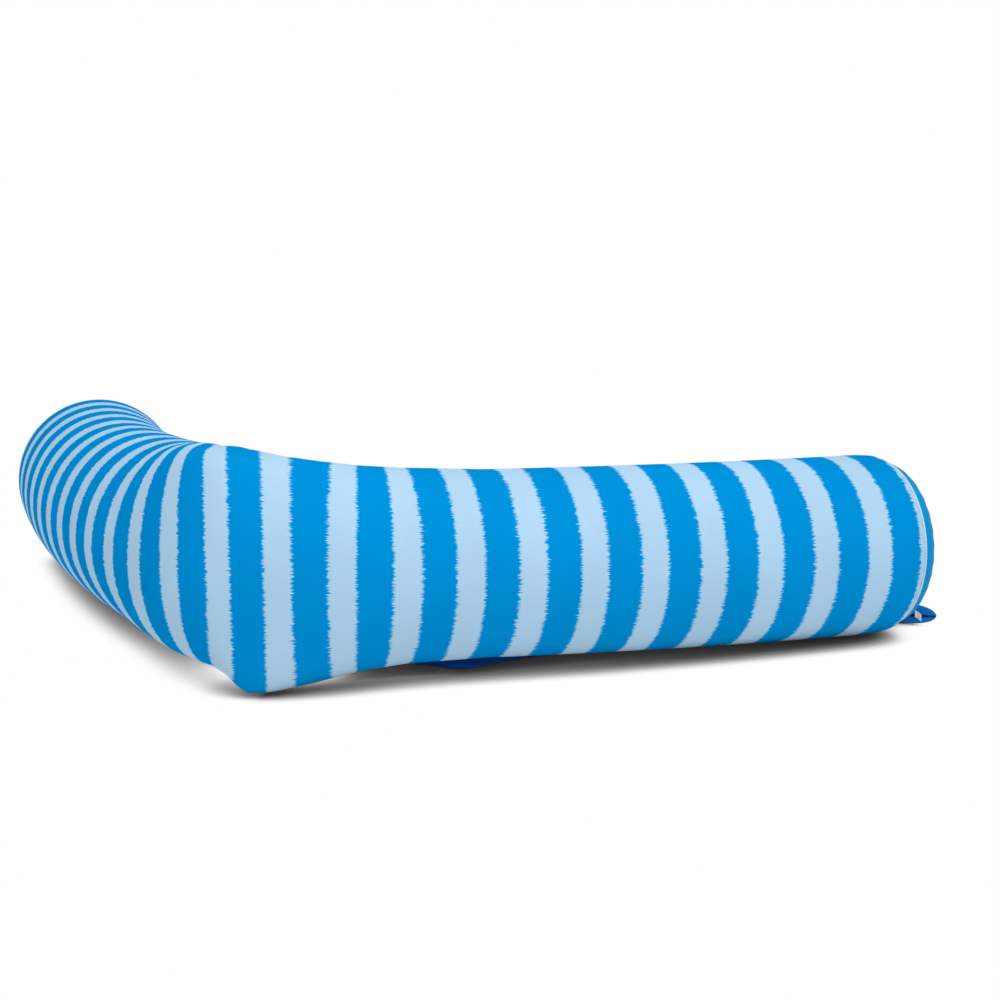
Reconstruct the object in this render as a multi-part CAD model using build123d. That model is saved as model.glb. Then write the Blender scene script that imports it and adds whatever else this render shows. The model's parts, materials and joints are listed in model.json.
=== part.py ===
from build123d import *
import math
import os

# Driving dimensions, in millimetres and degrees. The float lies on its seat: +Z up, corner towards +Y,
# open side towards -Y. The left arm is on the +X side and the right arm is its mirror image.
tube_radius = 115.0          # outside of the fabric sleeve
sleeve_wall = 1.5
arm_length = 845.0           # along the tube's centre line, from the corner
arm_bend_radius = 2900.0     # each arm curves gently inwards
corner_half_angle = 54.0     # half of the angle between the arms at the corner
corner_height = 294.0        # the kinked tube stands taller at the corner
corner_thickness = 156.0     # and is pinched this thin
corner_blend = 180.0         # length of arm over which the kink fades into the round tube
kink_sides = 24              # flat facets around the kinked stretch
kink_steps = 3
ridge_offset = 85.0          # outer ridge of the kink, outwards of the centre line's corner
fold_closing = 20.0          # how far the arms may swing together
fold_clearance = 0.6         # half of the gap between the two sleeves at the ridge

cap_dome = 34.0
seam_tape_width = 12.0
running_gap = 0.3

bladder_wall = 0.6
bladder_gap = 6.0            # between the bladder and the sleeve

valve_bore_radius = 6.0
valve_stem_wall = 2.5
valve_stem_top = 9.0         # above the cap's crown
valve_hole_radius = 17.0
valve_flange_radius = 20.0
plug_depth = 6.0
plug_tip_radius = 3.3
plug_head_radius = 10.5
plug_hinge_reach = 16.0      # hinge line of the plug, from the stem's axis

zip_length = 300.0
zip_end_margin = 120.0       # from the arm's end to the outer end of the zip
zip_angle = 35.0             # below the inner side of the tube
zip_tape_width = 11.5
zip_coil_width = 1.95
zip_coil_height = 2.0
slider_length = 12.0
slider_travel = 240.0
pull_length = 28.0
pull_width = 7.0

seat_thickness = 1.2
binding_inset = 50.0         # the seat is sewn to each tube this far inside its lowest line
binding_thickness = 2.0
hem_height = 28.0
hem_thickness = 10.0
hem_wall = 1.2
hem_overhang = 62.0          # sideways past the end of each tube's centre line
hem_forward = 50.0           # in front of the end of each tube's centre line
label_width = 18.0
label_height = 14.0
label_thickness = 0.6

# Derived places. The arm frame has its origin on the arm's bend axis, at the height of the tube's centre.
corner_rise = corner_height / 2 - tube_radius    # both arms slope down to the floor from the taller corner
inner_radius = tube_radius - sleeve_wall
arm_angle = math.degrees(arm_length / arm_bend_radius)
end_angle = corner_half_angle - arm_angle
round_angle = corner_half_angle - math.degrees(corner_blend / arm_bend_radius)
bladder_radius = inner_radius - bladder_gap
arm_axis = Axis((0, 0, 0), (0, 0, -1))
corner_x = arm_bend_radius * math.cos(math.radians(corner_half_angle))
corner_y = arm_bend_radius * math.sin(math.radians(corner_half_angle))
ridge = Vector(corner_x, corner_y + ridge_offset, 0)
wedge_angle = fold_closing / 2 + 0.5
flat_place = Pos(-corner_x, -corner_y, tube_radius)
shapes = {}


def arm_plane(angle):
    """Section plane across the arm: x away from the bend axis, y up, z towards the arm's end."""
    c, s = math.cos(math.radians(angle)), math.sin(math.radians(angle))
    return Plane(origin=(0, 0, 0), x_dir=(c, s, 0), z_dir=(s, -c, 0))


def along(distance):
    """Arm angle at a distance from the arm's end, measured back along the centre line."""
    return end_angle + math.degrees(distance / arm_bend_radius)


def sweep_arm(sketch, from_angle, to_angle):
    """A section carried along the arm between two angles."""
    return revolve(arm_plane(from_angle) * sketch, arm_axis, from_angle - to_angle)


def make_slope():
    """Turns the arm about its end, until its corner stands as high as the kink needs."""
    end = arm_plane(end_angle).x_dir * arm_bend_radius
    chord = Vector(corner_x, corner_y, 0) - end
    turn = math.degrees(math.asin(corner_rise / chord.length))
    return Pos(end) * Location((0, 0, 0), tuple(chord.cross(Vector(0, 0, 1)).normalized()), turn) * Pos(-end)


def moved(place, vector):
    """A direction carried by a placement."""
    return (place * Pos(vector)).position - place.position


def ring(outer, inner):
    return Pos(arm_bend_radius, 0) * (Circle(outer) - Circle(inner))


def on_end(shape):
    """Puts a shape made about +Z at the centre of the arm's end, pointing outwards."""
    plane = arm_plane(end_angle)
    centre = plane.from_local_coords(Vector(arm_bend_radius, 0, 0))
    return Plane(origin=centre, x_dir=plane.x_dir, z_dir=plane.z_dir).location * shape


def tube(outer, inner, low, high):
    return Pos(0, 0, low) * extrude(Circle(outer) - Circle(inner), amount=high - low)


def kink_ring(share, inset):
    """Points around the sleeve, from the crease at share 0 to the round tube at share 1."""
    wedge = math.radians(wedge_angle)
    inwards = Vector(math.sin(wedge), -math.cos(wedge), 0)
    across = Vector(math.cos(wedge), math.sin(wedge), 0)
    upright = Vector(0, 0, corner_rise)
    crease = ridge + inwards * (corner_thickness / 2) + across * fold_clearance + upright
    section = arm_plane(round_angle)
    joint = (slope * Pos(section.x_dir * arm_bend_radius)).position
    down_arm, away, up = (moved(slope, d) for d in (section.z_dir, section.x_dir, section.y_dir))
    reach = (joint - crease).length
    ease = share * share * (3 - 2 * share)
    lean = share * (1 - share) ** 2 * across - share ** 2 * (1 - share) * down_arm
    centre = crease * (1 - ease) + joint * ease + lean * reach
    half_width = corner_thickness / 2 * (1 - ease) + tube_radius * ease - inset
    half_height = corner_height / 2 * (1 - ease) + tube_radius * ease - inset
    side = (inwards * (share - 1) + away * share).normalized()
    lift = (Vector(0, 0, 1 - share) + up * share).normalized()
    points = []
    for step in range(kink_sides):
        turn = 2 * math.pi * step / kink_sides
        points.append(centre + side * (half_width * math.cos(turn)) + lift * (half_height * math.sin(turn)))
    return points


def band(first, second):
    """Flat triangles between two rings of points."""
    faces = []
    for step in range(kink_sides):
        after = (step + 1) % kink_sides
        faces.append(Face(Wire.make_polygon([first[step], first[after], second[after]])))
        faces.append(Face(Wire.make_polygon([first[step], second[after], second[step]])))
    return faces


def make_corner_panel():
    shares = [step / kink_steps for step in range(kink_steps + 1)]
    outer = [kink_ring(share, 0) for share in shares]
    inner = [kink_ring(share, sleeve_wall) for share in shares]
    faces = band(outer[0], inner[0]) + band(outer[-1], inner[-1])
    for rings in (outer, inner):
        for near, far in zip(rings, rings[1:]):
            faces += band(near, far)
    return Solid(Shell(faces))


def make_sleeve():
    slit = zip_strip(-1.2, 1.2, -4.0, 2.0, along(zip_end_margin + zip_length), along(zip_end_margin))
    return sweep_arm(ring(tube_radius, inner_radius), round_angle, end_angle) - slit


def make_cap():
    sphere = (tube_radius ** 2 + cap_dome ** 2) / (2 * cap_dome)
    outer = Pos(0, 0, cap_dome - sphere) * Sphere(sphere)
    inner = Pos(0, 0, cap_dome - sphere) * Sphere(sphere - sleeve_wall)
    keep = Pos(0, 0, cap_dome) * Box(3 * tube_radius, 3 * tube_radius, 2 * cap_dome - 2 * running_gap)
    hole = Cylinder(valve_hole_radius, 4 * cap_dome)
    return on_end((outer - inner) & keep) - on_end(hole)


def make_valve():
    """Stem valve in the middle of the cap, with its flange welded on the bladder's outer disc."""
    stem = valve_bore_radius + valve_stem_wall
    top = cap_dome + valve_stem_top
    disc_face = -bladder_gap
    body = tube(stem, valve_bore_radius, disc_face - 6.0, top)
    body += tube(valve_flange_radius, valve_bore_radius, disc_face + running_gap, disc_face + 1.8)
    patch = tube(30.0, valve_hole_radius + 0.5, cap_dome + 0.2, cap_dome + 1.4)
    shapes["valve_body"] = on_end(body)
    shapes["valve_patch"] = on_end(patch)
    flap_top = disc_face - 6.4
    flap = Pos(0, 0, flap_top - 0.8) * extrude(Circle(stem - 0.6), amount=0.8)
    shapes["check_flap"] = on_end(flap)
    collar_low = top - 4.0
    strap = tube(stem + 2.4, stem, collar_low, collar_low + 1.6)
    arm_middle = (stem + plug_hinge_reach + 2) / 2
    strap += Pos(arm_middle + 0.5, 0, collar_low + 0.8) * Box(plug_hinge_reach + 1 - stem, 6, 1.6)
    riser_top = top - 0.5
    riser_height = riser_top - collar_low
    strap += Pos(plug_hinge_reach, 0, collar_low + riser_height / 2) * Box(3, 6, riser_height)
    shapes["plug_strap"] = on_end(strap - Cylinder(stem, 4 * top))
    head_low = top + running_gap
    shank = Cone(plug_tip_radius, valve_bore_radius - 0.5, plug_depth)
    plug = Pos(0, 0, head_low - plug_depth / 2) * shank
    plug += Pos(0, 0, head_low + 1) * Cylinder(plug_head_radius, 2)
    plug += Pos(plug_hinge_reach / 2, 0, head_low + 1) * Box(plug_hinge_reach, 7, 2)
    shapes["plug"] = on_end(plug)


def make_bladder():
    start, stop = round_angle - 0.1, along(bladder_gap)
    shapes["bladder_tube"] = sweep_arm(ring(bladder_radius, bladder_radius - bladder_wall), start, stop)
    inside = bladder_radius - bladder_wall - 0.05
    stem = valve_bore_radius + valve_stem_wall + running_gap
    shapes["bladder_outer_disc"] = on_end(tube(inside, stem, -bladder_gap - bladder_wall, -bladder_gap))
    disc = Pos(arm_bend_radius, 0) * Circle(inside)
    shapes["bladder_inner_disc"] = extrude(arm_plane(start) * disc, amount=bladder_wall)


def zip_point(side, out):
    """A point of the arm's section, side along the tube's skin and out from it, at the zip."""
    a = math.radians(zip_angle)
    rho = arm_bend_radius - (tube_radius + out) * math.cos(a) + side * math.sin(a)
    return rho, -(tube_radius + out) * math.sin(a) - side * math.cos(a)


def zip_strip(side_low, side_high, out_low, out_high, from_angle, to_angle):
    corners = [(side_low, out_low), (side_high, out_low), (side_high, out_high), (side_low, out_high)]
    outline = Polyline(*[zip_point(*corner) for corner in corners], close=True)
    return sweep_arm(make_face(outline), from_angle, to_angle)


def make_zip():
    start, stop = along(zip_end_margin + zip_length), along(zip_end_margin)
    tape_low, tape_high = 2.5, 2.5 + zip_tape_width
    shapes["zip_tape_lower"] = zip_strip(tape_low, tape_high, 0.3, 0.9, start, stop)
    shapes["zip_tape_upper"] = zip_strip(-tape_high, -tape_low, 0.3, 0.9, start, stop)
    top = 0.3 + zip_coil_height
    coil_end = 0.25 + zip_coil_width
    coils = [zip_strip(0.25, coil_end, 0.3, top, start, stop),
             zip_strip(-coil_end, -0.25, 0.3, top, start, stop)]
    shapes["zip_coil"] = Compound(children=coils)
    stop_turn = math.degrees(3.0 / arm_bend_radius)
    gap_turn = math.degrees(0.4 / arm_bend_radius)
    stops = [zip_strip(-3, 3, 1.2, 3.2, start + gap_turn + stop_turn, start + gap_turn),
             zip_strip(-3, 3, 1.2, 3.2, stop - gap_turn, stop - gap_turn - stop_turn)]
    shapes["zip_stops"] = Compound(children=stops)


def slider_plane():
    """At the closed slider: x along the arm, y along the skin, z out from the tube."""
    angle = along(zip_end_margin + slider_length)
    section = arm_plane(angle)
    origin = section.from_local_coords(Vector(*zip_point(0, 0), 0))
    outer = section.from_local_coords(Vector(*zip_point(0, 1), 0))
    return Plane(origin=origin, x_dir=section.z_dir, z_dir=outer - origin)


def make_slider():
    place = slider_plane().location
    flange = 0.25 + zip_coil_width + 0.6
    body = Pos(0, 0, 3.4) * Box(slider_length, 11, 1.4)
    for side in (-1, 1):
        body += Pos(0, side * (flange + 0.8), 2.0) * Box(slider_length, 1.6, 1.6)
        body += Pos(0, side * 4.9, 5.2) * Box(4, 1.2, 3.2)
    body += Pos(0, 0, 5.6) * Rot(90, 0, 0) * Cylinder(0.8, 9)
    shapes["zip_slider"] = place * body
    barrel = Rot(90, 0, 0) * (Cylinder(1.4, pull_width) - Cylinder(1.1, pull_width))
    tab = Pos(-pull_length / 2 - 1.2, 0, 0) * Box(pull_length, pull_width, 1.2)
    tab -= Rot(90, 0, 0) * Cylinder(1.3, 20)
    tab -= Pos(-pull_length + 3, 0, 0) * Cylinder(1.8, 10)
    shapes["zip_pull"] = place * Pos(0, 0, 5.6) * (barrel + tab)


def make_binding():
    """The strip that sews the seat to the tube, down to the seat panel on the floor."""
    skin = math.sqrt(tube_radius ** 2 - binding_inset ** 2)
    low, high = -tube_radius - corner_rise, -skin - 0.8
    strip = Pos(arm_bend_radius - binding_inset, (low + high) / 2) * Rectangle(binding_thickness, high - low)
    strip = flat_place * slope * sweep_arm(strip, round_angle, along(hem_thickness))
    floor = Pos(0, 0, seat_thickness + running_gap + 2 * arm_length) * Box(*[4 * arm_length] * 3)
    return strip & floor


def make_arm():
    shapes["sleeve"] = make_sleeve()
    shapes["end_cap"] = make_cap()
    tape = inner_radius - running_gap
    shapes["cap_seam_tape"] = on_end(tube(tape, tape - 1.0, -bladder_gap + 0.5, -0.3))
    make_valve()
    make_bladder()
    make_zip()
    make_slider()


def arm_point(angle, inset, height):
    """A point beside the level centre line, in the float's own axes, with the corner at x = y = 0."""
    rho = arm_bend_radius - inset
    a = math.radians(angle)
    return Vector(rho * math.cos(a) - corner_x, rho * math.sin(a) - corner_y, height)


def make_seat(hem_back):
    inset = binding_inset + binding_thickness / 2
    back = arm_point(round_angle, inset, 0)
    middle = arm_point((round_angle + end_angle) / 2, inset, 0)
    side = arm_point(end_angle, inset, 0)
    front = Vector(side.X + (side.Y - hem_back) * 0.5, hem_back, 0)
    peak = Vector(0, ridge_offset - corner_thickness - 20, 0)
    half = [ThreePointArc(side, middle, back), Line(back, peak), Line(front, side)]
    other = [mirror(edge, about=Plane.YZ) for edge in half]
    edges = half + other + [Line(front, Vector(-front.X, front.Y, 0))]
    return extrude(make_face(edges), amount=seat_thickness)


def make_front():
    """The hemmed front edge of the seat: a flat hollow casing that reaches past both caps."""
    end = arm_point(end_angle, 0, 0) - Vector(0, hem_forward, 0)
    length = 2 * (end.X + hem_overhang)
    outer = Rectangle(hem_thickness, hem_height)
    outer = fillet(outer.vertices(), hem_thickness * 0.45)
    inner = Rectangle(hem_thickness - 2 * hem_wall, hem_height - 2 * hem_wall)
    inner = fillet(inner.vertices(), hem_thickness * 0.45 - hem_wall)
    section = Plane(origin=(-length / 2, end.Y, hem_height / 2), x_dir=(0, 1, 0), z_dir=(1, 0, 0))
    shapes["front_hem"] = extrude(section * (outer - inner), amount=length)
    hem_back = end.Y + hem_thickness / 2
    shapes["seat_panel"] = make_seat(hem_back + 0.2)
    label_y = hem_back + 0.2 + label_thickness / 2
    label_x = -length / 2 + label_width
    shapes["care_label"] = Pos(label_x, label_y, hem_height / 2) * Box(label_width, label_thickness, label_height)


def build():
    make_arm()
    to_float = flat_place * slope
    for name in shapes:
        shapes[name] = to_float * shapes[name]
    shapes["corner_panel"] = flat_place * make_corner_panel()
    shapes["seat_binding"] = make_binding()
    nodes = {}
    for name, left in shapes.items():
        nodes["left_" + name] = left
        nodes["right_" + name] = mirror(left, about=Plane.YZ)
    shapes.clear()
    make_front()
    nodes.update(shapes)
    boxes = [shape.bounding_box() for shape in nodes.values()]
    middle_y = (min(box.min.Y for box in boxes) + max(box.max.Y for box in boxes)) / 2
    lowest = min(box.min.Z for box in boxes)
    shift = Pos(0, -middle_y, -lowest)
    os.makedirs("parts", exist_ok=True)
    for name, shape in nodes.items():
        export_step(shift * shape, f"parts/{name}.step")
    report_places(shift * to_float, shift)


def report_places(arm_place, shift):
    """Prints the joint axes and mount places of the left arm, in metres."""
    def show(name, point, direction=None, place=arm_place):
        spot = (place * Pos(point)).position / 1000
        text = f"{name}: {spot.X:.6f} {spot.Y:.6f} {spot.Z:.6f}"
        if direction is not None:
            turned = moved(place, direction)
            text += f"  axis {turned.X:.6f} {turned.Y:.6f} {turned.Z:.6f}"
        print(text)
    show("bend axis", Vector(0, 0, 0), Vector(0, 0, 1))
    show("ridge", ridge + Vector(0, 0, corner_rise), Vector(0, 0, -1), shift * flat_place)
    end = arm_plane(end_angle)
    radial, outwards = end.x_dir, end.z_dir
    centre = radial * arm_bend_radius
    top = cap_dome + valve_stem_top
    upright = outwards.cross(radial)
    show("valve rim", centre + outwards * top, outwards)
    show("plug hinge", centre + radial * plug_hinge_reach + outwards * (top + running_gap + 1), upright)
    flap = valve_bore_radius + valve_stem_wall
    show("flap hinge", centre + radial * flap + outwards * (-bladder_gap - 6.8), upright)
    slider = slider_plane()
    pin = slider.from_local_coords(Vector(0, 0, 5.6))
    show("pull hinge", pin, slider.y_dir)
    print("slider turn, degrees:", round(math.degrees(slider_travel / arm_bend_radius), 4))
    print("shift:", shift.position)


slope = make_slope()
build()
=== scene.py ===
import json
import math
import bmesh
import bpy
from mathutils import Matrix, Vector


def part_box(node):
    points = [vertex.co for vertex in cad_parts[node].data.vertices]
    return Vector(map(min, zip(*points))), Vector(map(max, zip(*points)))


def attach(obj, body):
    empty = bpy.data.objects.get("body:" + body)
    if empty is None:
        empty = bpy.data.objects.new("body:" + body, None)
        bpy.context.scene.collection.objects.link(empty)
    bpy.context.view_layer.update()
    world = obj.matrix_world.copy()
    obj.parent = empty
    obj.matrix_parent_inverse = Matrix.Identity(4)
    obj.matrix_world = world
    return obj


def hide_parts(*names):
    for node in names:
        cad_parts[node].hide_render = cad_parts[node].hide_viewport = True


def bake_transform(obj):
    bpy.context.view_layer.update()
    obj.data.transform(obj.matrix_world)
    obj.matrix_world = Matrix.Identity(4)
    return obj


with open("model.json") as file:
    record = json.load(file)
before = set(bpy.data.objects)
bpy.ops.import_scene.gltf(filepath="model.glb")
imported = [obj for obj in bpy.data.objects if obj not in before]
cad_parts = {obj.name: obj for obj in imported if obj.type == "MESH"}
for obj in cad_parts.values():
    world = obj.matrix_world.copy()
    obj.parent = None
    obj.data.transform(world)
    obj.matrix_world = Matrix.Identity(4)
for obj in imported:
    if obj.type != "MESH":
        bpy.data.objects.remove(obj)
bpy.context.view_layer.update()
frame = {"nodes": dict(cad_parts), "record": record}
joints = {joint["name"]: joint for joint in frame["record"]["behaviour"]["joints"]}

arm = {
    "length": 0.845,
    "bendRadius": 2.9,
    "cornerHalfAngle": 54.0,
    "tubeRadius": 0.115,
}

cover = {
    "around": 96,
    "stationGap": 0.006,
    "kinkLength": 0.23,
    "halfThickness": 0.078,
    # place along the sleeve, and how much taller the section is there, upwards and downwards
    "ears": [(-0.30, 0.0, 0.0), (-0.20, 0.004, 0.004), (-0.15, 0.009, 0.010), (-0.10, 0.017, 0.020),
             (-0.05, 0.026, 0.026), (-0.01, 0.034, 0.029), (0.008, 0.034, 0.012), (0.03, 0.034, 0.002),
             (0.06, 0.033, 0.0), (0.10, 0.027, 0.0), (0.15, 0.020, 0.0), (0.22, 0.014, 0.0),
             (0.30, 0.010, 0.0), (0.5, 0.004, 0.0), (0.8, 0.003, 0.0)],
    # how far the foot of the corner leans to the right, and the stretch of sleeve that leans with it
    "earLean": 0.027,
    "leanReach": 0.07,
    # the left arm is fuller on its inner side: by how much of its width, where, and over what length
    "fuller": (0.15, 0.24, 0.15),
    # how square the outer face is at the corner, and the stretch of sleeve over which it grows round
    "flatFace": 0.5,
    "flatReach": 0.1,
    "shoulder": 0.034,       # the last stretch, where the fabric is drawn in to the cap's seam
    "shoulderDrop": 0.0095,
    "pucker": 0.0011,        # gathers at the cap's seam: their depth, how many, and how far they reach
    "puckerCount": 31,
    "puckerReach": 0.03,
    "floorGap": 0.0004,
    # place along the sleeve, depth and width of the folds that run from the inner side of the kink
    "creases": [(0.0, 0.012, 0.006), (0.042, 0.006, 0.008), (-0.036, 0.005, 0.008),
                (0.085, 0.004, 0.010), (-0.08, 0.003, 0.010), (0.135, 0.0025, 0.012)],
    "stripePeriod": 0.074,
    # stripe count at places along the sleeve, from the right arm to the left
    "stripeMarks": [(-0.3155, 4.0), (-0.2413, 3.0), (-0.2034, 2.44), (-0.1778, 2.0), (-0.1476, 1.44),
                    (-0.1253, 1.0), (-0.0951, 0.44), (-0.0706, 0.0), (-0.0363, -0.56), (-0.0083, -1.0),
                    (0.0312, -1.56), (0.0576, -2.0), (0.0915, -2.56), (0.113, -3.0), (0.1438, -3.56),
                    (0.1669, -4.0)],
    # at the corner the stripes stand plumb: distance across the corner's face, and the stripe count there
    "plumbMarks": [(-0.0917, -2.0), (-0.0708, -1.56), (-0.0372, -1.0), (-0.0097, -0.56), (0.0301, 0.0),
                   (0.0623, 0.44), (0.1059, 1.0), (0.1392, 1.44), (0.1834, 2.0), (0.2176, 2.44),
                   (0.2594, 3.0)],
    # which way that distance runs, how far behind the fold it starts, and how far along each arm it holds
    "plumbAcross": (-0.8527, -0.5303, 0.0),
    "plumbStart": 0.085,
    "plumbReach": (0.13, 0.045),
}


def smooth(share):
    share = min(max(share, 0.0), 1.0)
    return share * share * (3 - 2 * share)


def armFrame(side, distance):
    slide = joints["left_zip_slide"]
    up = Vector(slide["axis"]).normalized()
    lean = Vector((0, 0, 1)).rotation_difference(up)
    angle = math.radians(arm["cornerHalfAngle"]) - distance / arm["bendRadius"]
    away = lean @ Vector((math.cos(angle), math.sin(angle), 0))
    along = lean @ Vector((math.sin(angle), -math.cos(angle), 0))
    centre = Vector(slide["pos_m"]) + away * arm["bendRadius"]
    if side == "right":
        flip = Matrix.Diagonal((-1, 1, 1))
        centre, away, up, along = (flip @ v for v in (centre, away, up, along))
    return centre, away, up, along


def onEnd(side):
    centre, away, up, along = armFrame(side, arm["length"])
    cross = along.cross(away)
    turned = Matrix((away, cross, along)).transposed().to_4x4()
    return Matrix.Translation(centre) @ turned


def growRings(bm, rings):
    count = len(rings[0])
    ring = list(bmesh.ops.create_circle(bm, segments=count, radius=1)["verts"])
    for vert, point in zip(ring, rings[0]):
        vert.co = point
    made = [ring]
    for points in rings[1:]:
        edges = [bm.edges.get((ring[i], ring[(i + 1) % count])) for i in range(count)]
        grown = bmesh.ops.extrude_edge_only(bm, edges=edges)["geom"]
        follows = {}
        old = set(ring)
        for vert in (v for v in grown if isinstance(v, bmesh.types.BMVert)):
            for edge in vert.link_edges:
                if edge.other_vert(vert) in old:
                    follows[edge.other_vert(vert)] = vert
        ring = [follows[vert] for vert in ring]
        for vert, point in zip(ring, points):
            vert.co = point
        made.append(ring)
    return made


def paintUv(bm, made, lengths):
    layer = bm.loops.layers.uv.new("UVMap")
    count = len(made[0])
    place = {}
    for ring, value in zip(made, lengths):
        values = value if isinstance(value, list) else [value] * count
        for i, vert in enumerate(ring):
            place[vert] = (i / count, values[i])
    for face in bm.faces:
        marks = [place.get(loop.vert, (0, 0)) for loop in face.loops]
        wraps = max(m[0] for m in marks) - min(m[0] for m in marks) > 0.5
        for loop, mark in zip(face.loops, marks):
            loop[layer].uv = (mark[0] + (1 if wraps and mark[0] < 0.5 else 0), mark[1])


def finishMesh(name, bm, material):
    bmesh.ops.recalc_face_normals(bm, faces=bm.faces)
    mesh = bpy.data.meshes.new(name)
    bm.to_mesh(mesh)
    bm.free()
    for polygon in mesh.polygons:
        polygon.use_smooth = True
    piece = bpy.data.objects.new(name, mesh)
    bpy.context.scene.collection.objects.link(piece)
    mesh.materials.append(material)
    return piece


def newMaterial(name, **sockets):
    material = bpy.data.materials.new(name)
    material.use_nodes = True
    shader = material.node_tree.nodes["Principled BSDF"]
    for socket, value in sockets.items():
        shader.inputs[socket.replace("_", " ")].default_value = value
    return material, material.node_tree, shader


def addNode(tree, kind, **settings):
    node = tree.nodes.new(kind)
    for key, value in settings.items():
        setattr(node, key, value)
    return node


def addMath(tree, operation, first, second=None, third=None, clamp=False):
    node = addNode(tree, "ShaderNodeMath", operation=operation, use_clamp=clamp)
    for socket, value in zip(node.inputs, (first, second, third)):
        if value is None:
            continue
        if isinstance(value, (int, float)):
            socket.default_value = value
        else:
            tree.links.new(value, socket)
    return node.outputs[0]


def addNoise(tree, vector, scale, detail=2.0, roughness=0.5):
    noise = addNode(tree, "ShaderNodeTexNoise")
    noise.inputs["Scale"].default_value = scale
    noise.inputs["Detail"].default_value = detail
    noise.inputs["Roughness"].default_value = roughness
    tree.links.new(vector, noise.inputs["Vector"])
    return noise.outputs["Fac"]


def addRamp(tree, factor, stops):
    ramp = addNode(tree, "ShaderNodeValToRGB")
    elements = ramp.color_ramp.elements
    while len(elements) < len(stops):
        elements.new(0.5)
    for element, (position, colour) in zip(elements, stops):
        element.position = position
        element.color = (*colour, 1)
    tree.links.new(factor, ramp.inputs["Fac"])
    return ramp.outputs["Color"]


def addBump(tree, shader, height, distance, strength=0.5):
    bump = addNode(tree, "ShaderNodeBump")
    bump.inputs["Strength"].default_value = strength
    bump.inputs["Distance"].default_value = distance
    tree.links.new(height, bump.inputs["Height"])
    tree.links.new(bump.outputs["Normal"], shader.inputs["Normal"])


def weaveHeight(tree, vector, threads):
    mapping = addNode(tree, "ShaderNodeMapping")
    mapping.inputs["Scale"].default_value = threads
    tree.links.new(vector, mapping.inputs["Vector"])
    parts = addNode(tree, "ShaderNodeSeparateXYZ")
    tree.links.new(mapping.outputs[0], parts.inputs[0])
    waves = [addMath(tree, "SINE", parts.outputs[i]) for i in range(2)]
    return addMath(tree, "MULTIPLY", waves[0], waves[1])


stripeFinish = {
    "light": (0.33, 0.50, 0.66),
    "fringe": (0.02, 0.33, 0.62),
    "blue": (0.0002, 0.208, 0.52),
    "lightShare": 0.44,
    # the ragged edge of each stripe: how many spikes around the sleeve, how deep, and its slower waves
    "spikes": 640.0,
    "spikeDepth": 0.16,
    "finerShare": 0.7,
    "broadShare": 0.16,
    "knit": (1500.0, 170.0, 1.0),
}


def makeStripes():
    s = stripeFinish
    material, tree, shader = newMaterial("stripedFabric", Roughness=0.7, Specular_IOR_Level=0.0)
    uv = addNode(tree, "ShaderNodeUVMap", uv_map="UVMap").outputs[0]
    parts = addNode(tree, "ShaderNodeSeparateXYZ")
    tree.links.new(uv, parts.inputs[0])
    around, length = parts.outputs[0], parts.outputs[1]
    edgeNumber = addMath(tree, "FLOOR", addMath(tree, "MULTIPLY_ADD", length, 2.0, 1 - s["lightShare"]))

    def spikes(count, seed):
        spot = addNode(tree, "ShaderNodeCombineXYZ")
        tree.links.new(addMath(tree, "MULTIPLY", around, count), spot.inputs[0])
        tree.links.new(addMath(tree, "MULTIPLY", edgeNumber, 3.7), spot.inputs[1])
        spot.inputs[2].default_value = seed
        return addNoise(tree, spot.outputs[0], 1.0, 1.0)

    fine = addMath(tree, "SUBTRACT", spikes(s["spikes"], 1.3), 0.5)
    finer = addMath(tree, "SUBTRACT", spikes(s["spikes"] * 2.3, 5.1), 0.5)
    broad = addMath(tree, "SUBTRACT", spikes(s["spikes"] / 30, 8.7), 0.5)
    ragged = addMath(tree, "MULTIPLY_ADD", finer, s["finerShare"], fine)
    ragged = addMath(tree, "MULTIPLY_ADD", broad, s["broadShare"], ragged)
    shifted = addMath(tree, "MULTIPLY_ADD", ragged, s["spikeDepth"], length)
    phase = addMath(tree, "FRACT", addMath(tree, "ADD", shifted, 0.5 - s["lightShare"] / 2))
    fromMiddle = addMath(tree, "ABSOLUTE", addMath(tree, "SUBTRACT", phase, 0.5))
    half = s["lightShare"] / 2
    stops = [(half - 0.008, s["light"]), (half + 0.004, s["fringe"]), (half + 0.016, s["blue"])]
    colour = addRamp(tree, fromMiddle, stops)
    where = addNode(tree, "ShaderNodeTexCoord").outputs["Object"]
    mottle = addNoise(tree, where, 9.0, 3.0)
    shade = addMath(tree, "MULTIPLY_ADD", mottle, 0.16, 0.92)
    mix = addNode(tree, "ShaderNodeMix", data_type="RGBA", blend_type="MULTIPLY")
    mix.inputs["Factor"].default_value = 1.0
    tree.links.new(colour, mix.inputs[6])
    tree.links.new(shade, mix.inputs[7])
    tree.links.new(mix.outputs[2], shader.inputs["Base Color"])
    addBump(tree, shader, weaveHeight(tree, uv, s["knit"]), 0.0002, 0.25)
    return material


def makeFabric(name, colour, threads=2200.0, roughness=0.6, bump=0.3, spread=0.2):
    material, tree, shader = newMaterial(name, Roughness=roughness, Specular_IOR_Level=0.04)
    where = addNode(tree, "ShaderNodeTexCoord").outputs["Object"]
    darker = tuple(c * (1 - spread) for c in colour)
    lighter = tuple(min(c * (1 + spread), 1) for c in colour)
    tree.links.new(addRamp(tree, addNoise(tree, where, 14.0, 4.0), [(0.3, darker), (0.7, lighter)]),
                   shader.inputs["Base Color"])
    addBump(tree, shader, weaveHeight(tree, where, (threads,) * 3), 0.0002, bump)
    return material


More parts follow.
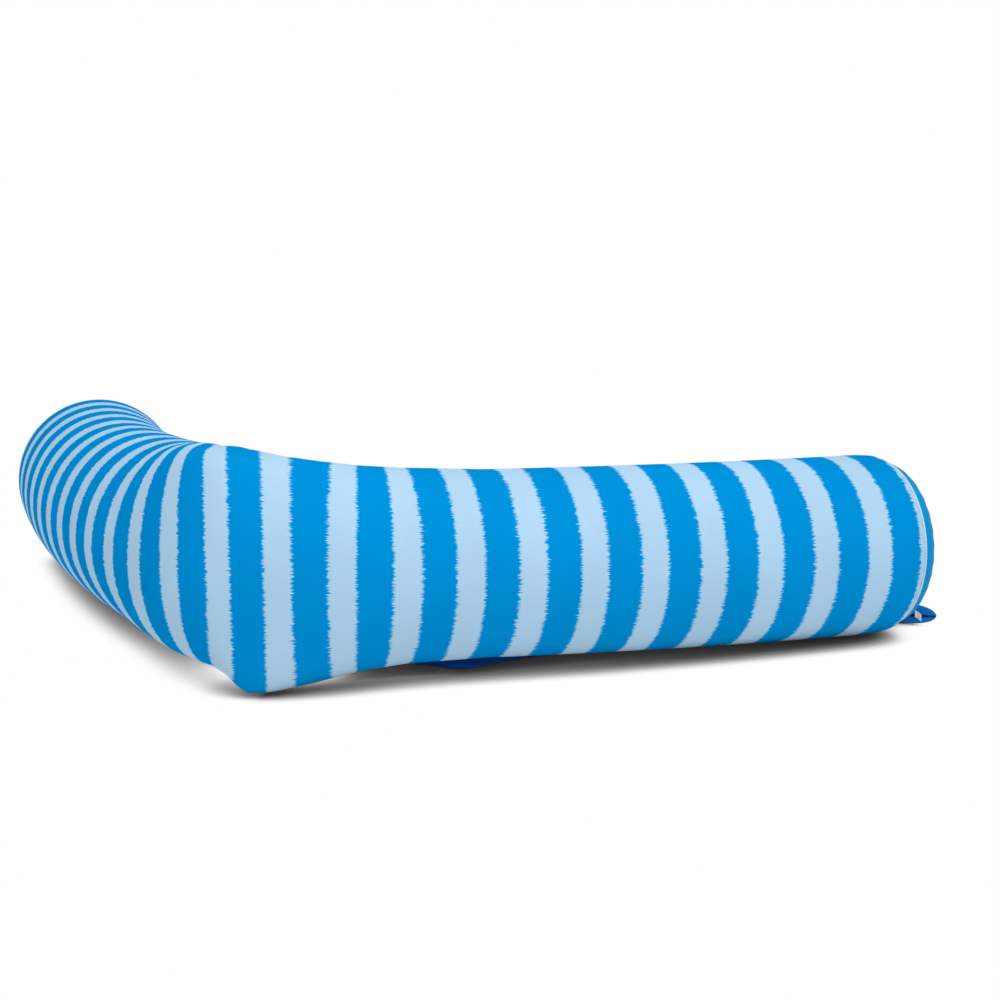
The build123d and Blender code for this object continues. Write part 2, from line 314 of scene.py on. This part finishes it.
def makeHemCloth():
    material, tree, shader = newMaterial("hemFabric", Roughness=0.6, Specular_IOR_Level=0.1)
    uv = addNode(tree, "ShaderNodeUVMap", uv_map="UVMap").outputs[0]
    parts = addNode(tree, "ShaderNodeSeparateXYZ")
    tree.links.new(uv, parts.inputs[0])
    # a dark line is painted along the slit between the casing's two folded edges: painted shade in the slit;
    # the rest is the cloth's own blue
    height = addMath(tree, "SINE", addMath(tree, "MULTIPLY", parts.outputs[0], math.pi * 2))
    slitPaintedShade = addMath(tree, "ABSOLUTE", addMath(tree, "ADD", height, 0.12))
    stops = [(0.08, (0.0003, 0.016, 0.085)), (0.2, (0.001, 0.115, 0.38)), (0.9, (0.001, 0.15, 0.47))]
    tree.links.new(addRamp(tree, slitPaintedShade, stops), shader.inputs["Base Color"])
    where = addNode(tree, "ShaderNodeTexCoord").outputs["Object"]
    addBump(tree, shader, weaveHeight(tree, where, (1800.0,) * 3), 0.0002, 0.3)
    return material


def makeNetting():
    material, tree, shader = newMaterial("seatNetting", Roughness=0.7, Sheen_Weight=0.1)
    uv = addNode(tree, "ShaderNodeUVMap", uv_map="UVMap").outputs[0]
    cells = addNode(tree, "ShaderNodeTexVoronoi", feature="F1")
    cells.inputs["Scale"].default_value = 330.0
    cells.inputs["Randomness"].default_value = 0.12
    tree.links.new(uv, cells.inputs["Vector"])
    hole = cells.outputs["Distance"]
    tree.links.new(addRamp(tree, hole, [(0.2, (0.001, 0.003, 0.012)), (0.36, (0.004, 0.02, 0.085))]),
                   shader.inputs["Base Color"])
    addBump(tree, shader, hole, 0.0006, 0.6)
    return material


def makePlastic(name, colour, roughness=0.3, coat=0.0, metallic=0.0):
    material, tree, shader = newMaterial(name, Roughness=roughness, Coat_Weight=coat, Metallic=metallic)
    where = addNode(tree, "ShaderNodeTexCoord").outputs["Object"]
    tone = addNoise(tree, where, 30.0, 3.0)
    darker = tuple(c * 0.9 for c in colour)
    tree.links.new(addRamp(tree, tone, [(0.3, darker), (0.7, colour)]), shader.inputs["Base Color"])
    addBump(tree, shader, addNoise(tree, where, 600.0), 0.0002, 0.15)
    return material


stripes = makeStripes()
plainBlue = makeFabric("plainBlueFabric", (0.0004, 0.215, 0.48), spread=0.06)
navyFold = makeFabric("navyFold", (0.0008, 0.055, 0.27), 1500.0)
pipingWhite = makeFabric("seamPiping", (0.42, 0.56, 0.68), spread=0.04)
hemBlue = makeHemCloth()
netting = makeNetting()
labelWhite = makeFabric("labelTape", (0.75, 0.77, 0.80), spread=0.04)
bladderSkin = makePlastic("bladderSkin", (0.72, 0.80, 0.86), 0.18, 0.4)
valveSkin = makePlastic("valveSkin", (0.78, 0.84, 0.88), 0.25, 0.3)
patchSkin = makePlastic("patchSkin", (0.25, 0.52, 0.78), 0.35)
tapeCloth = makeFabric("zipTape", (0.003, 0.13, 0.40), 3000.0)
coilPlastic = makePlastic("zipCoil", (0.003, 0.10, 0.32), 0.4)
zipMetal = makePlastic("zipMetal", (0.45, 0.47, 0.50), 0.3, metallic=0.85)
print("materials made")


def earRise(position):
    ears = cover["ears"]
    for (low, *first), (high, *last) in zip(ears, ears[1:]):
        if low <= position <= high:
            share = (position - low) / (high - low)
            return [a + (b - a) * share for a, b in zip(first, last)]
    return [0.0, 0.0]


def coverStation(position):
    side = "left" if position >= 0 else "right"
    distance = abs(position)
    kink = cover["kinkLength"]
    centre, away, up, along = armFrame(side, max(distance, kink))
    wide = tall = arm["tubeRadius"]
    if distance < kink:
        share = distance / kink
        ease = smooth(share)
        hinge = joints["corner_fold"]["pos_m"]
        crease = Vector((0, hinge[1] - cover["halfThickness"], hinge[2]))
        across = Vector((1 if side == "left" else -1, 0, 0))
        reach = (centre - crease).length
        lean = across * (share * (1 - share) ** 2) - along * (share ** 2 * (1 - share))
        centre = crease * (1 - ease) + centre * ease + lean * reach
        away = (Vector((0, 1, 0)) * (1 - ease) + away * ease).normalized()
        up = (Vector((0, 0, 1)) * (1 - ease) + up * ease).normalized()
        wide = cover["halfThickness"] * (1 - ease) + wide * ease
    top, bottom = (tall + rise for rise in earRise(position))
    fromEnd = arm["length"] - distance
    if fromEnd < cover["shoulder"]:
        share = 1 - fromEnd / cover["shoulder"]
        drop = cover["shoulderDrop"] * (1 - math.sqrt(max(0, 1 - share * share)))
        wide, top, bottom = wide - drop, top - drop, bottom - drop
    return centre, away, up, wide, top, bottom


def coverCreases(position, turn):
    inner = smooth((0.2 - math.cos(turn)) / 1.2)
    depth = 0.0
    for place, deep, thin in cover["creases"]:
        depth += deep * math.exp(-((position - place - 0.02 * math.sin(turn)) / thin) ** 2)
    return depth * inner


def coverRing(position):
    centre, away, up, wide, top, bottom = coverStation(position)
    points = []
    fromEnd = arm["length"] - abs(position)
    near = math.exp(-(position / cover["leanReach"]) ** 2)
    more, where, length = cover["fuller"]
    boxy = 1 - cover["flatFace"] * math.exp(-(position / cover["flatReach"]) ** 2)
    for step in range(cover["around"]):
        turn = math.pi * 2 * step / cover["around"] - math.pi * 0.75
        tall = top if math.sin(turn) > 0 else bottom
        pucker = cover["pucker"] * math.sin(turn * cover["puckerCount"] + 1.7 * math.sin(3 * turn))
        pull = coverCreases(position, turn) + pucker * smooth(1 - fromEnd / cover["puckerReach"])
        x, y = math.cos(turn), math.sin(turn)
        lean = cover["earLean"] * near * max(-y, 0) ** 2
        x = x ** boxy if x > 0 else x * (1 + more * math.exp(-((position - where) / length) ** 2))
        point = centre + away * x * (wide - pull) + up * y * (tall - pull)
        points.append(Vector((point.x - lean, point.y, max(point.z, cover["floorGap"]))))
    return points


def between(marks, place):
    for (low, first), (high, last) in zip(marks, marks[1:]):
        if place <= high:
            break
    return first + (last - first) * (place - low) / (high - low)


def stripeCount(position):
    marks = cover["stripeMarks"]
    if position <= marks[0][0]:
        return marks[0][1] + (marks[0][0] - position) / cover["stripePeriod"]
    if position >= marks[-1][0]:
        return marks[-1][1] - (position - marks[-1][0]) / cover["stripePeriod"]
    return between(marks, position)


def stripeValues(position, ring):
    even = stripeCount(position)
    centre, away, up, wide = coverStation(position)[:4]
    right, left = cover["plumbReach"]
    near = math.exp(-(position / right) ** 4) if position < 0 else math.exp(-(position / left) ** 2)
    across = Vector(cover["plumbAcross"])
    start = Vector((0, joints["corner_fold"]["pos_m"][1] - cover["plumbStart"], 0))
    values = []
    for point in ring:
        share = near * smooth(((point - centre).dot(away) / wide + 0.55) / 0.5)
        plumb = between(cover["plumbMarks"], (point - start).dot(across))
        values.append(even * (1 - share) + plumb * share)
    return values


def makeCover():
    count = int(round(2 * arm["length"] / cover["stationGap"]))
    positions = [-arm["length"] + 2 * arm["length"] * i / count for i in range(count + 1)]
    bm = bmesh.new()
    rings = [coverRing(position) for position in positions]
    made = growRings(bm, rings)
    paintUv(bm, made, [stripeValues(position, ring) for position, ring in zip(positions, rings)])
    piece = finishMesh("striped_cover", bm, stripes)
    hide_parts("left_sleeve", "right_sleeve", "left_corner_panel", "right_corner_panel")
    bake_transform(piece)


makeCover()
print("cover made")


cap = {
    # radius and height beyond the sleeve's end, from the seam to the rim of the valve's opening
    "profile": [(0.1035, -0.0035), (0.1058, 0.002), (0.1048, 0.0085), (0.1005, 0.0160), (0.0920, 0.0230),
                (0.079, 0.0280), (0.061, 0.0314), (0.043, 0.0331), (0.027, 0.0339), (0.018, 0.0341),
                (0.0176, 0.0327)],
    "around": 96,
    "pucker": 0.0006,
    "cloth": 0.0012,
}

piping = {
    "radius": 0.1058,
    "height": 0.0002,
    "thick": 0.0016,
    "around": 120,
    "sides": 8,
}


def makeCap(side):
    rings = []
    for radius, height in cap["profile"]:
        fade = smooth((radius - 0.05) / 0.05)
        ring = []
        for step in range(cap["around"]):
            turn = math.pi * 2 * step / cap["around"]
            lift = cap["pucker"] * fade * math.sin(turn * 27 + 2 * math.sin(2 * turn))
            ring.append(Vector((radius * math.cos(turn), radius * math.sin(turn), height + lift)))
        rings.append(ring)
    bm = bmesh.new()
    made = growRings(bm, rings)
    paintUv(bm, made, [height for radius, height in cap["profile"]])
    bmesh.ops.transform(bm, matrix=onEnd(side), verts=bm.verts)
    piece = finishMesh(side + "_cap_cover", bm, plainBlue)
    solid = piece.modifiers.new("wall", "SOLIDIFY")
    solid.thickness = cap["cloth"]
    solid.offset = -1
    smoothing = piece.modifiers.new("smooth", "SUBSURF")
    smoothing.levels = smoothing.render_levels = 1
    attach(piece, side + "_arm")
    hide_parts(side + "_end_cap")


def makePiping(side):
    angles = [math.pi * 2 * step / piping["around"] for step in range(piping["around"])]
    rings = []
    for across in range(piping["sides"] + 1):
        turn = math.pi * 2 * across / piping["sides"]
        radius = piping["radius"] + piping["thick"] * math.cos(turn)
        height = piping["height"] - piping["thick"] * math.sin(turn)
        rings.append([Vector((radius * math.cos(a), radius * math.sin(a), height)) for a in angles])
    bm = bmesh.new()
    growRings(bm, rings)
    bmesh.ops.remove_doubles(bm, verts=bm.verts, dist=1e-6)
    bmesh.ops.transform(bm, matrix=onEnd(side), verts=bm.verts)
    piece = finishMesh(side + "_seam_piping", bm, pipingWhite)
    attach(piece, side + "_arm")
    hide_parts(side + "_cap_seam_tape")


for side in ("left", "right"):
    makeCap(side)
    makePiping(side)
print("caps made")


seat = {
    "inset": 0.05,
    "firstRow": 0.125,
    "rows": 60,
    "columns": 72,
    "clearance": 0.0022,
    "slack": 0.004,
    "hemShare": 0.93,        # the share of its length after which it runs out to the hem
    "hemHeight": 0.012,
    "hemNarrowing": 0.02,
    "cloth": 0.0009,
    "sewnIn": 0.06,
}


# the slack edge of the seat that shows under the right arm: place along the arm, inset of its outer lip
# from the tube's lowest line, and height at its inner side
fold = {
    "edge": [(0.225, 0.047, 0.001), (0.2366, 0.045, 0.003), (0.2462, 0.0311, 0.007), (0.2600, 0.0095, 0.011),
             (0.2860, 0.0045, 0.013), (0.3288, 0.0222, 0.010), (0.3736, 0.0394, 0.005),
             (0.40, 0.0465, 0.002), (0.41, 0.047, 0.001)],
    "tuck": 0.049,
    "lip": 0.0045,
    "floorGap": 0.0012,
    "ripple": 0.12,
    "stations": 90,
    "around": 28,
}


def seatEdge(side, distance):
    centre, away, up = armFrame(side, distance)[:3]
    drop = math.sqrt(arm["tubeRadius"] ** 2 - seat["inset"] ** 2)
    return centre - away * seat["inset"] - up * (drop - 0.0005)


def makeEdgeFold():
    rings = []
    edge = fold["edge"]
    for station in range(fold["stations"] + 1):
        spot = station / fold["stations"] * (len(edge) - 1)
        low = min(int(spot), len(edge) - 2)
        share = smooth(spot - low) * 0.4 + (spot - low) * 0.6
        distance, inset, tall = (a + (b - a) * share for a, b in zip(edge[low], edge[low + 1]))
        centre, away = armFrame("right", distance)[:2]
        flatAway = Vector((away.x, away.y, 0)).normalized()
        middle = centre - flatAway * (inset + fold["tuck"]) / 2
        half = (fold["tuck"] - inset) / 2
        ring = []
        for step in range(fold["around"]):
            turn = math.pi * 2 * step / fold["around"]
            out, rise = math.cos(turn), math.sin(turn)
            height = tall * (0.5 - 0.5 * out) ** 0.8 * (0.55 + 0.45 * rise) + fold["lip"] * (1 + rise)
            height *= 1 + fold["ripple"] * math.sin(distance * 95 + out * 2)
            ring.append(Vector((middle.x, middle.y, fold["floorGap"] + height)) + flatAway * out * half)
        rings.append(ring)
    bm = bmesh.new()
    made = growRings(bm, rings)
    for ring in (made[0], made[-1]):
        bmesh.ops.contextual_create(bm, geom=ring)
    piece = finishMesh("seat_edge_fold", bm, navyFold)
    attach(piece, "right_arm")
    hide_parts("right_seat_binding")


def makeSeat():
    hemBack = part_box("front_hem")[1][1]
    hemHeight = seat["hemHeight"]
    bm = bmesh.new()
    grid = bmesh.ops.create_grid(bm, x_segments=seat["columns"], y_segments=seat["rows"], size=1)
    layer = bm.loops.layers.uv.new("UVMap")
    flat = {}
    for vert in grid["verts"]:
        across, down = vert.co.x, (1 - vert.co.y) / 2
        distance = seat["firstRow"] + (arm["length"] - seat["firstRow"]) * min(down / seat["hemShare"], 1)
        left, right = seatEdge("left", distance), seatEdge("right", distance)
        toHem = max(down - seat["hemShare"], 0) / (1 - seat["hemShare"])
        for edge in (left, right):
            edge.y += (hemBack - edge.y) * toHem
            edge.x *= 1 - seat["hemNarrowing"] * toHem
            edge.z += (hemHeight - edge.z) * toHem
        point = right.lerp(left, (across + 1) / 2)
        rim = abs(across) ** 10
        waves = math.sin(across * 9 + down * 5) * math.sin(down * 17 + across * 4)
        floor = seat["clearance"] + seat["slack"] * (1 + waves) / 2
        height = point.z * rim + floor * (1 - rim)
        height += (hemHeight - height) * toHem
        vert.co = Vector((point.x, point.y, height))
        flat[vert] = (point.x, point.y)
    for face in bm.faces:
        for loop in face.loops:
            loop[layer].uv = flat[loop.vert]
    piece = finishMesh("seat_sling", bm, netting)
    solid = piece.modifiers.new("cloth", "SOLIDIFY")
    solid.thickness = seat["cloth"]
    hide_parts("seat_panel", "left_seat_binding")
    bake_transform(piece)


makeSeat()
makeEdgeFold()
print("seat made")


hem = {
    "around": 48,
    "stations": 140,
    "tip": 0.034,
    # the slit between the casing's two folded edges: its depth, place and width, as shares of the section
    "slit": (0.8, -0.12, 0.16),
    "wave": 0.04,
}


def makeHem():
    low, high = (Vector(corner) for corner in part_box("front_hem"))
    middle = (low + high) / 2
    halfDeep, halfTall = (high.y - low.y) / 2, (high.z - low.z) / 2
    deep, place, thin = hem["slit"]
    bm = bmesh.new()
    rings, lengths = [], []
    for station in range(hem["stations"] + 1):
        x = high.x * math.sin(math.pi * (station / hem["stations"] - 0.5))
        nearTip = 1 - min((high.x - abs(x)) / hem["tip"], 1)
        size = math.sqrt(max(1 - nearTip ** 1.9, 0.004))
        ring = []
        for step in range(hem["around"]):
            turn = math.pi * 2 * step / hem["around"]
            y, z = math.cos(turn), math.sin(turn)
            slit = deep * math.exp(-((z - place) / thin) ** 2)
            y *= (1 - slit) * (1 - 0.25 * nearTip)
            z *= size * (1 - hem["wave"] * (1 - math.sin(x * 60)))
            ring.append(Vector((x, middle.y + y * halfDeep * max(size, 0.35), middle.z + z * halfTall)))
        rings.append(ring)
        lengths.append(x)
    made = growRings(bm, rings)
    paintUv(bm, made, lengths)
    for ring in (made[0], made[-1]):
        bmesh.ops.contextual_create(bm, geom=ring)
    piece = finishMesh("front_hem_casing", bm, hemBlue)
    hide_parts("front_hem")
    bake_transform(piece)


label = {
    "columns": 10,
    "rows": 6,
    "showing": 0.010,
    "halfHeight": 0.0045,
    "curl": 0.004,
    "tilt": 0.002,
    "tape": 0.0005,
}


def makeLabel():
    low, high = (Vector(corner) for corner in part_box("care_label"))
    bm = bmesh.new()
    bmesh.ops.create_grid(bm, x_segments=label["columns"], y_segments=label["rows"], size=1)
    for vert in bm.verts:
        across, tall = vert.co.x, vert.co.y
        inwards = (1 - across) / 2
        z = (low.z + high.z) / 2 + label["halfHeight"] * tall + label["tilt"] * across
        vert.co = Vector((high.x - label["showing"] * inwards, high.y + label["curl"] * inwards ** 2, z))
    piece = finishMesh("blank_label", bm, labelWhite)
    solid = piece.modifiers.new("tape", "SOLIDIFY")
    solid.thickness = label["tape"]
    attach(piece, "right_arm")
    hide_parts("care_label")


makeHem()
makeLabel()
print("hem and label made")


finishes = {
    "bladder_": bladderSkin,
    "valve_patch": patchSkin,
    "valve_body": valveSkin,
    "check_flap": valveSkin,
    "plug": valveSkin,
    "zip_tape": tapeCloth,
    "zip_coil": coilPlastic,
    "zip_stops": zipMetal,
    "zip_slider": zipMetal,
    "zip_pull": zipMetal,
}

for name, node in frame["nodes"].items():
    for word, material in finishes.items():
        if word in name:
            node.data.materials.clear()
            node.data.materials.append(material)
print("finishes given")


studio = {
    "camera": (-1.8368, 3.2401, 0.898),
    "heading": -1.1053,
    "pitch": 0.1915,
    "roll": -0.0112,
    "lens": 106.4,
    "sensor": 36,
    "floorSize": 60,
    # how open a spot of the floor is to its surroundings, and how white the floor glows there: a painted
    # contact shadow, since the floor is a light of its own
    "shadow": [(0.0, 0.004), (0.14, 0.05), (0.28, 0.3), (0.42, 0.8), (0.54, 1.0)],
    "reach": 0.06,
    "world": 0.9,
    # each lamp's place, target, size and power
    "lamps": {
        "overhead": ((-0.6, 1.0, 2.6), (0, 0, 0.1), 2.6, 35.0),
        "side": ((-3.0, 1.6, 1.6), (-0.2, 0, 0.1), 2.0, 24.5),
    },
}


def makeFloor():
    bm = bmesh.new()
    bmesh.ops.create_grid(bm, x_segments=1, y_segments=1, size=studio["floorSize"])
    material, tree, shader = newMaterial("floorGlowWithPaintedShadow", Roughness=0.9, Specular_IOR_Level=0.0)
    shader.inputs["Base Color"].default_value = (0, 0, 0, 1)
    shader.inputs["Emission Strength"].default_value = 1.0
    # the floor glows white and lights the object; near the object, ambient occlusion darkens the glow into a
    # painted contact shadow
    paintedShadowOcclusion = addNode(tree, "ShaderNodeAmbientOcclusion", samples=24)
    paintedShadowOcclusion.inputs["Distance"].default_value = studio["reach"]
    stops = [(place, (value,) * 3) for place, value in studio["shadow"]]
    tree.links.new(addRamp(tree, paintedShadowOcclusion.outputs["AO"], stops), shader.inputs["Emission Color"])
    piece = finishMesh("floor", bm, material)
    for polygon in piece.data.polygons:
        polygon.use_smooth = False


def makeLight(name, place, target, size, power):
    light = bpy.data.lights.new(name, "AREA")
    light.shape = "RECTANGLE"
    light.size = light.size_y = size
    light.energy = power
    lamp = bpy.data.objects.new(name, light)
    bpy.context.scene.collection.objects.link(lamp)
    lamp.location = place
    lamp.rotation_euler = (Vector(target) - Vector(place)).to_track_quat("-Z", "Y").to_euler()


def makeCamera():
    pitch, heading, roll = studio["pitch"], studio["heading"], studio["roll"]
    level = Vector((math.cos(heading), math.sin(heading), 0))
    look = level * math.cos(pitch) - Vector((0, 0, math.sin(pitch)))
    right = look.cross(Vector((0, 0, 1))).normalized()
    up = right.cross(look)
    turnedRight = right * math.cos(roll) + up * math.sin(roll)
    turnedUp = up * math.cos(roll) - right * math.sin(roll)
    camera = bpy.data.cameras.new("camera")
    camera.lens = studio["lens"]
    camera.sensor_width = studio["sensor"]
    holder = bpy.data.objects.new("camera", camera)
    bpy.context.scene.collection.objects.link(holder)
    turned = Matrix((turnedRight, turnedUp, -look)).transposed().to_4x4()
    holder.matrix_world = Matrix.Translation(studio["camera"]) @ turned
    bpy.context.scene.camera = holder


makeFloor()
for name, (place, target, size, power) in studio["lamps"].items():
    makeLight(name, place, target, size, power)
makeCamera()
world = bpy.data.worlds.new("studio")
world.use_nodes = True
surround = world.node_tree.nodes["Background"]
surround.inputs["Color"].default_value = (1, 1, 1, 1)
surround.inputs["Strength"].default_value = studio["world"]
bpy.context.scene.world = world
bpy.context.scene.view_settings.view_transform = "Standard"
print("studio made")
